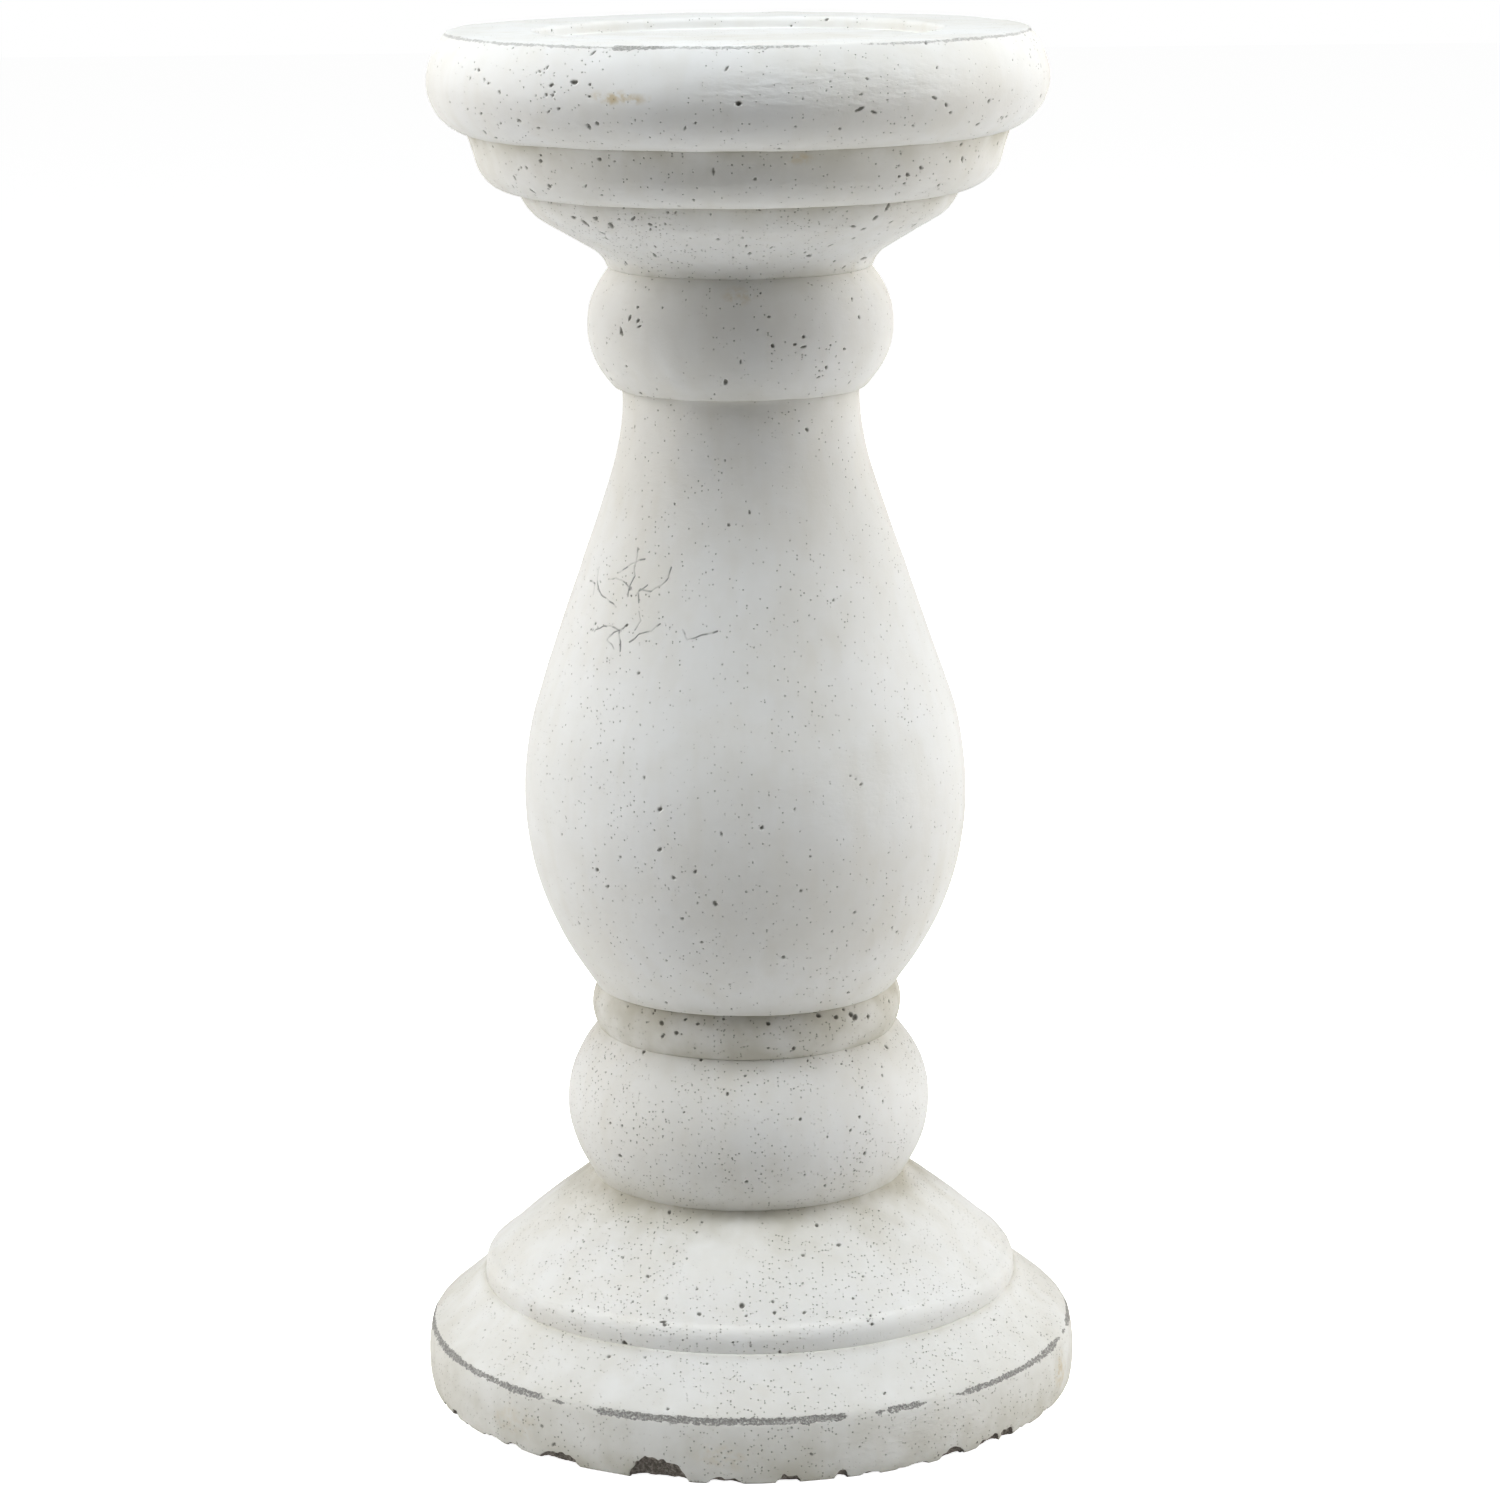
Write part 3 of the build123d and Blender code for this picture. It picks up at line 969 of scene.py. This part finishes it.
def build_collar(material):
    member = members["collar"]
    pits = pit_group(member, random, 3, 45, 112, 12, 1.5, 0.8)
    pits += scattered_pits(member, random, 26.0, favour=lambda z: 0.2 + 0.8 * smoothstep(108, 113, z))
    add_piece(member, sculpted(member, pits), material)


# Hairline scratches gathered on the baluster's upper left: degrees from the front and mm.
SCRATCH_MIDDLE = (-38, 229)
SCRATCH_SPREAD = (16, 7)
SCRATCH_STEP = (5.0, 2.6)
SCRATCH_COUNT = 14
SCRATCH_HALF_WIDTH = 0.13
SCRATCH_WANDER = 0.4
SCRATCH_DEPTH = 0.10
SCRATCH_TURN = 0.55
SCRATCH_ZONE_HALF_ANGLE = 1.2
SCRATCH_ZONE_HEIGHTS = (195, 252)
SCRATCH_REFINE_REACHES = (1.3, 0.75, 0.4)
FAR_FROM_SCRATCH = 99.0


def scratch_strokes(random):
    """Short crooked strokes, each a run of (degrees, height) that turns a little at every step."""
    strokes = []
    for _ in range(SCRATCH_COUNT):
        degrees, height = random.normal(SCRATCH_MIDDLE, SCRATCH_SPREAD)
        heading = random.uniform(-math.pi, math.pi)
        run = [(degrees, height)]
        for _ in range(random.integers(2, 6)):
            heading += random.normal(0, SCRATCH_TURN)
            degrees += SCRATCH_STEP[0] * math.cos(heading)
            height += SCRATCH_STEP[1] * math.sin(heading)
            run.append((degrees, height))
        strokes.append(run)
    return strokes


scratches = scratch_strokes(random)


def scratch_distance(points, phi):
    """Distance in mm from the nearest scratch, with a small wander so that none is straight."""
    radius = np.hypot(points[:, 0], points[:, 1])
    wander = SCRATCH_WANDER * noise(points, 2.6, 51)
    x = phi * radius + wander
    y = points[:, 2] + SCRATCH_WANDER * noise(points, 2.2, 52)
    nearest = np.full(len(points), FAR_FROM_SCRATCH)
    for run in scratches:
        for (phi_a, y_a), (phi_b, y_b) in zip(run, run[1:]):
            x_a, x_b = math.radians(phi_a) * radius, math.radians(phi_b) * radius
            dx, dy = x_b - x_a, y_b - y_a
            t = np.clip(((x - x_a) * dx + (y - y_a) * dy) / (dx**2 + dy**2), 0, 1)
            nearest = np.minimum(nearest, np.hypot(x - x_a - t * dx, y - y_a - t * dy))
    return nearest


def baluster_extra(points, phi, s):
    """Hairline scratches."""
    faint = 0.25 + 0.75 * smoothstep(-0.35, 0.35, noise(points, 1.5, 53) + 0.4 * noise(points, 5.0, 54))
    line = smoothstep(SCRATCH_HALF_WIDTH * 2.2, SCRATCH_HALF_WIDTH * 0.5, scratch_distance(points, phi))
    return SCRATCH_DEPTH * line, {"scratch": line * faint}


def scratches_near(centres, level):
    """Faces close to a scratch."""
    phi = np.arctan2(centres[:, 0], -centres[:, 1])
    near = np.zeros(len(centres), bool)
    lowest, highest = SCRATCH_ZONE_HEIGHTS
    window = (np.abs(phi) < SCRATCH_ZONE_HALF_ANGLE) & (centres[:, 2] > lowest) & (centres[:, 2] < highest)
    near[window] = scratch_distance(centres[window], phi[window]) < SCRATCH_REFINE_REACHES[level]
    return near


def build_baluster(material):
    member = members["baluster"]
    pits = pit_group(member, random, 14, -2, 158, 42, 24, 0.6, slit_share=0.1)
    pits += pit_group(member, random, 10, -15, 238, 40, 32, 0.38, slit_share=0.1)
    pits += scattered_pits(member, random, 3.0, favour=lambda z: 0.3 + 0.7 * smoothstep(175, 130, z))
    mesh = sculpted(member, pits, baluster_extra, (scratches_near, len(SCRATCH_REFINE_REACHES)))
    add_piece(member, mesh, material)


def build_neck_ball(material):
    member = members["neck_ball"]

    def mostly_below(z):
        return 0.4 + 0.6 * smoothstep(300, 290, z)

    pits = pit_group(member, random, 6, -42, 304, 10, 6, 0.5, slit_share=0.7)
    pits += pit_group(member, random, 6, 15, 302, 16, 6, 0.5, slit_share=0.5)
    pits += scattered_pits(member, random, 10.0, slit_share=0.25, favour=mostly_below)

    def stains(points, phi, s):
        return 0.0, {"stain": stain_patch(points, phi, 0, 312, 8, 2.6, 0.45)}

    add_piece(member, sculpted(member, pits, stains), material)


def build_cup(material):
    member = members["cup"]
    pits = pit_group(member, random, 5, -42, 331, 9, 3, 0.65, slit_share=0.6)
    pits += pit_group(member, random, 3, 40, 332, 18, 2, 0.6)
    pits += scattered_pits(member, random, 15.0, slit_share=0.4)
    add_piece(member, sculpted(member, pits), material)


def build_step_disc(material):
    member = members["step_disc"]
    pits = pit_group(member, random, 5, -50, 345, 14, 5, 0.6, slit_share=0.5)
    pits += pit_group(member, random, 7, 48, 345, 14, 5, 0.48)
    pits += scattered_pits(member, random, 8.0, slit_share=0.2)

    def stains(points, phi, s):
        return 0.0, {"stain": stain_patch(points, phi, 12, 351, 4, 2.2, 0.6)}

    add_piece(member, sculpted(member, pits, stains), material)


RIM_HEIGHT = 379.55
RIM_WORN_HALF_WIDTH = 0.36
RIM_TEAR = -0.55
RIM_WORN_PATCH = (-19, 5, 1.05)
RIM_WEAR_STRENGTH = 0.38
RIM_PATCH_STRENGTH = 0.7
RIM_WEAR_DEPTH = 0.08


def dish_extra(points, phi, s):
    """Worn top arris and ochre stains of the dish."""
    member = members["dish"]
    rim_top = float(member.length[np.argmax(member.skin[:, 1] > RIM_HEIGHT)])
    edge = s - rim_top
    width = broken_line(points, phi, RIM_WORN_HALF_WIDTH, RIM_TEAR)
    patch_degrees, patch_half_angle, patch_half_width = RIM_WORN_PATCH
    off_patch = wide_angle(phi, patch_degrees, patch_half_angle)
    wedge = smoothstep(1.0, 0.85, np.abs(off_patch)) * (0.75 - 0.4 * off_patch)
    width = np.maximum(width, patch_half_width * wedge)
    extra = RIM_PATCH_STRENGTH - RIM_WEAR_STRENGTH
    stain = stain_patch(points, phi, -21, 367, 7, 1.9, 0.9)
    stain += stain_patch(points, phi, 110, 366, 5, 2.5, 0.7)
    values = {
        "edge_distance": edge,
        "wear_width": width,
        "wear_strength": RIM_WEAR_STRENGTH + extra * np.clip(wedge * 2, 0, 1),
        "stain": stain,
        "wrinkle": zone(points, phi, 18, 369, 36, 9),
    }
    return RIM_WEAR_DEPTH * worn_depth_share(edge, width), values


def build_dish(material):
    member = members["dish"]
    pits = [pit_at(member, 0, 366, 0.75, 0.7), pit_at(member, -30, 371, 1.1, 0.6, 5)]
    pits += pit_group(member, random, 14, -42, 371, 20, 4, 0.42, slit_share=0.5)
    pits += pit_group(member, random, 8, -40, 362, 18, 4, 0.45, slit_share=0.4)
    pits += pit_group(member, random, 10, 42, 362, 22, 6, 0.42, slit_share=0.4)
    pits += scattered_pits(member, random, 6.0, slit_share=0.3, favour=lambda z: 0.12 + 0.88 * (z < 379))
    add_piece(member, sculpted(member, pits, dish_extra), material)


# ---------------------------------------------------------------- hidden hardware and felt


def paint_cad_node(node, material):
    """Gives a CAD node that stays as it is its own node material."""
    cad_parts[node].data.materials.clear()
    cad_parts[node].data.materials.append(material)


# ---------------------------------------------------------------- stage, light and camera

FLOOR_HALF = 6.0
FLOOR_PALE = (0.9, 0.9, 0.9, 1)
WHITE = (1, 1, 1, 1)
FLOOR_GLOW_TO_CAMERA = 0.985


def build_floor():
    """Plain pale floor. A glow that only the camera sees keeps it white."""
    bm = bmesh.new()
    corners = [(x * FLOOR_HALF, y * FLOOR_HALF) for x, y in ((-1, -1), (1, -1), (1, 1), (-1, 1))]
    bm.faces.new([bm.verts.new((x, y, 0)) for x, y in corners])
    mesh = bpy.data.meshes.new("floor")
    bm.to_mesh(mesh)
    bm.free()
    floor = bpy.data.objects.new("floor", mesh)
    bpy.context.scene.collection.objects.link(floor)
    n = Nodes("pale_floor")
    n.shader.inputs["Base Color"].default_value = FLOOR_PALE
    n.shader.inputs["Roughness"].default_value = 0.9
    n.shader.inputs["Specular IOR Level"].default_value = 0.1
    n.shader.inputs["Emission Color"].default_value = WHITE
    seen = n.add("ShaderNodeLightPath").outputs["Is Camera Ray"]
    n.put(n.shader.inputs["Emission Strength"], n.maths("MULTIPLY", seen, FLOOR_GLOW_TO_CAMERA))
    mesh.materials.append(n.material)


def build_world():
    """Surroundings that the camera sees as white and that give no light of their own."""
    world = bpy.data.worlds.new("white_surroundings")
    bpy.context.scene.world = world
    world.use_nodes = True
    tree = world.node_tree
    path = tree.nodes.new("ShaderNodeLightPath")
    tree.nodes["Background"].inputs["Color"].default_value = WHITE
    tree.links.new(path.outputs["Is Camera Ray"], tree.nodes["Background"].inputs["Strength"])


# Soft boxes in metres and watts. Those off the middle are pairs: the upper ones are stronger on the
# left, the lower ones on the right.
LIT_POINT = (0, 0, 0.19)
OVERHEAD_POWER = 4.0
OVERHEAD_SIDE_SHARE = 0.6
NEAR_POWER = 0.7
SIDE_POWER = 2.5
WIDE_POWER = 7.0
BACK_POWER = 4.0
UPPER_GAIN = {"left": 1.15, "right": 0.85}
LOWER_GAIN = {"left": 0.85, "right": 1.05}
OVERHEAD_COLOUR = (0.925, 0.967, 1.0)
AROUND_COLOUR = (1.0, 0.985, 0.96)


def soft_box(name, place, side, power, colour):
    """A square lamp, side metres across, turned towards the middle of the object."""
    data = bpy.data.lights.new(name, "AREA")
    data.shape = "SQUARE"
    data.size = side
    data.energy = power
    data.color = colour
    light = bpy.data.objects.new(name, data)
    light.location = place
    towards = Vector(LIT_POINT) - Vector(place)
    light.rotation_euler = towards.to_track_quat("-Z", "Y").to_euler()
    bpy.context.scene.collection.objects.link(light)


def build_lights():
    soft_box("overhead", (0, -0.35, 1.6), 0.4, OVERHEAD_POWER, OVERHEAD_COLOUR)
    soft_box("overhead_front", (0, -0.65, 1.5), 0.4, OVERHEAD_POWER, OVERHEAD_COLOUR)
    soft_box("near_overhead", (0, -0.3, 0.95), 0.35, NEAR_POWER, OVERHEAD_COLOUR)
    for name, x in (("left", -1), ("right", 1)):
        upper, lower = UPPER_GAIN[name], LOWER_GAIN[name]
        above = OVERHEAD_SIDE_SHARE * upper * OVERHEAD_POWER
        soft_box("overhead_" + name, (0.6 * x, -0.35, 1.5), 0.4, above, OVERHEAD_COLOUR)
        soft_box("side_" + name, (0.9 * x, -0.1, 0.8), 0.5, upper * SIDE_POWER, AROUND_COLOUR)
        soft_box("wide_" + name, (1.1 * x, 0, 0.45), 1.2, lower * WIDE_POWER, AROUND_COLOUR)
        soft_box("back_" + name, (0.9 * x, 0.8, 0.45), 1.0, lower * BACK_POWER, AROUND_COLOUR)


CONTRAST_GAMMA = 0.77
CAMERA_PLACE = (0, -1.2362, 0.4511)
CAMERA_TILT_DEGREES = 77.68
CAMERA_ROLL_DEGREES = -0.568
CAMERA_LENS_MM = 109.09
CAMERA_SHIFT = 0.0033
CAMERA_SENSOR_MM = 36


def build_camera():
    data = bpy.data.cameras.new("camera")
    data.sensor_width = CAMERA_SENSOR_MM
    data.lens = CAMERA_LENS_MM
    data.shift_x = CAMERA_SHIFT
    camera = bpy.data.objects.new("camera", data)
    tilt = Matrix.Rotation(math.radians(CAMERA_TILT_DEGREES), 4, "X")
    roll = Matrix.Rotation(math.radians(CAMERA_ROLL_DEGREES), 4, "Z")
    camera.matrix_world = Matrix.Translation(CAMERA_PLACE) @ tilt @ roll
    bpy.context.scene.collection.objects.link(camera)
    bpy.context.scene.camera = camera


def build_view():
    """Plain colours with a firmer contrast."""
    view = bpy.context.scene.view_settings
    view.view_transform = "Standard"
    view.gamma = CONTRAST_GAMMA


# ---------------------------------------------------------------- build it all

smooth_cement = cement_material("cement_smooth", 0.35)
porous_cement = cement_material("cement_porous", 0.90)
build_plinth(porous_cement)
build_foot(porous_cement)
build_lower_bulb(porous_cement)
build_collar(porous_cement)
build_baluster(smooth_cement)
build_neck_ball(smooth_cement)
build_cup(porous_cement)
build_step_disc(smooth_cement)
build_dish(smooth_cement)
steel = steel_material()
for node in ("tie_rod", "rod_anchor", "rod_washer", "rod_nut"):
    paint_cad_node(node, steel)
paint_cad_node("base_pad", felt_material())
build_floor()
build_world()
build_lights()
build_camera()
build_view()
